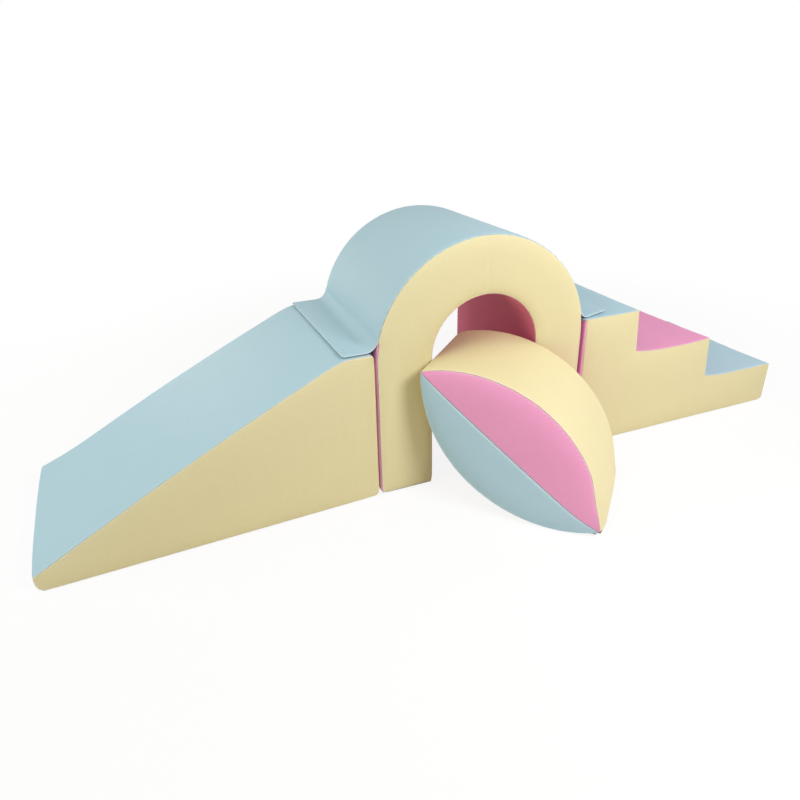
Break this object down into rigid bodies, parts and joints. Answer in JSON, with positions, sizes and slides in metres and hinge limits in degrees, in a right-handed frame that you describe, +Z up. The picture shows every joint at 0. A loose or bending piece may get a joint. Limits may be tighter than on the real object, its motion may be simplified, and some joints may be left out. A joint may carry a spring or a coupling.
{
  "type": "soft play foam climber",
  "caption": "Soft play set of padded foam blocks: ramp, tunnel arch with hinged fastening flaps, stairs, and a leaf-shaped rocker leaning in the tunnel mouth.",
  "frame": {"origin": "middle of the set's footprint, on the floor", "axes": "+X along the set from the ramp to the stairs, +Y from the front, where the rocker leans, to the back, +Z up"},
  "size_m": [2.804, 1.089, 0.84],
  "materials": {
    "cream_leatherette": "satin",
    "blue_leatherette": "satin",
    "pink_leatherette": "satin",
    "non_slip_base": "matte",
    "foam": "matte",
    "touch_fastener": "matte",
    "zip_tape": "matte",
    "zip_teeth": "satin",
    "zip_slider": "satin"
  },
  "bodies": {
    "arch": {"arch_core": "foam", "arch_front_cover": "cream_leatherette", "arch_rear_cover": "cream_leatherette", "arch_band_cover": "blue_leatherette", "arch_left_side_cover": "pink_leatherette", "arch_right_side_cover": "pink_leatherette", "arch_tunnel_cover": "pink_leatherette", "arch_left_foot_cover": "non_slip_base", "arch_right_foot_cover": "non_slip_base", "arch_zip_tape": "zip_tape", "arch_zip_teeth": "zip_teeth"},
    "left_flap": {"left_flap": "blue_leatherette", "left_flap_hook_strip": "touch_fastener"},
    "right_flap": {"right_flap": "blue_leatherette", "right_flap_hook_strip": "touch_fastener"},
    "ramp": {"ramp_core": "foam", "ramp_slide_cover": "blue_leatherette", "ramp_front_side_cover": "cream_leatherette", "ramp_rear_side_cover": "cream_leatherette", "ramp_end_cover": "cream_leatherette", "ramp_base_cover": "non_slip_base", "ramp_loop_patch": "touch_fastener", "ramp_zip_tape": "zip_tape", "ramp_zip_teeth": "zip_teeth"},
    "stairs": {"stairs_core": "foam", "stairs_platform_cover": "blue_leatherette", "stairs_middle_step_cover": "pink_leatherette", "stairs_bottom_step_cover": "blue_leatherette", "stairs_front_side_cover": "cream_leatherette", "stairs_rear_side_cover": "cream_leatherette", "stairs_end_cover": "pink_leatherette", "stairs_base_cover": "non_slip_base", "stairs_loop_patch": "touch_fastener", "stairs_zip_tape": "zip_tape", "stairs_zip_teeth": "zip_teeth"},
    "rocker": {"rocker_core": "foam", "rocker_front_upper_cover": "pink_leatherette", "rocker_front_lower_cover": "blue_leatherette", "rocker_rear_upper_cover": "pink_leatherette", "rocker_rear_lower_cover": "blue_leatherette", "rocker_upper_band_cover": "cream_leatherette", "rocker_lower_band_cover": "cream_leatherette", "rocker_zip_tape": "zip_tape", "rocker_zip_teeth": "zip_teeth"},
    "arch_zip_slider": {"arch_zip_slider": "zip_slider"},
    "ramp_zip_slider": {"ramp_zip_slider": "zip_slider"},
    "stairs_zip_slider": {"stairs_zip_slider": "zip_slider"},
    "rocker_zip_slider": {"rocker_zip_slider": "zip_slider"}
  },
  "joints": [
    {"name": "left_flap_lift", "type": "hinge", "parent": "arch", "child": "left_flap", "pos_m": [-0.35866, 0.2364, 0.545], "axis": [0, 1, 0], "range_deg": [0, 85]},
    {"name": "right_flap_lift", "type": "hinge", "parent": "arch", "child": "right_flap", "pos_m": [0.38268, 0.2364, 0.545], "axis": [0, -1, 0], "range_deg": [0, 85]},
    {"name": "ramp_pull_away", "type": "slide", "parent": "arch", "child": "ramp", "axis": [-1, 0, 0], "range_m": [0, 0.3]},
    {"name": "stairs_pull_away", "type": "slide", "parent": "arch", "child": "stairs", "axis": [1, 0, 0], "range_m": [0, 0.3]},
    {"name": "rocker_rock", "type": "hinge", "parent": "arch", "child": "rocker", "pos_m": [0.06021, -0.45398, 0.44417], "axis": [-0.7071, -0.7071, 0], "range_deg": [0, 75]},
    {"name": "arch_zip_run", "type": "slide", "parent": "arch", "child": "arch_zip_slider", "axis": [0, 0, 1], "range_m": [0, 0.32]},
    {"name": "ramp_zip_run", "type": "slide", "parent": "ramp", "child": "ramp_zip_slider", "axis": [-0.9986, -0.0523, 0], "range_m": [0, 0.58]},
    {"name": "stairs_zip_run", "type": "slide", "parent": "stairs", "child": "stairs_zip_slider", "axis": [1, 0, 0], "range_m": [0, 0.77]},
    {"name": "rocker_zip_run", "type": "slide", "parent": "rocker", "child": "rocker_zip_slider", "axis": [0.7071, 0.7071, 0], "range_m": [0, 0.32]}
  ]
}
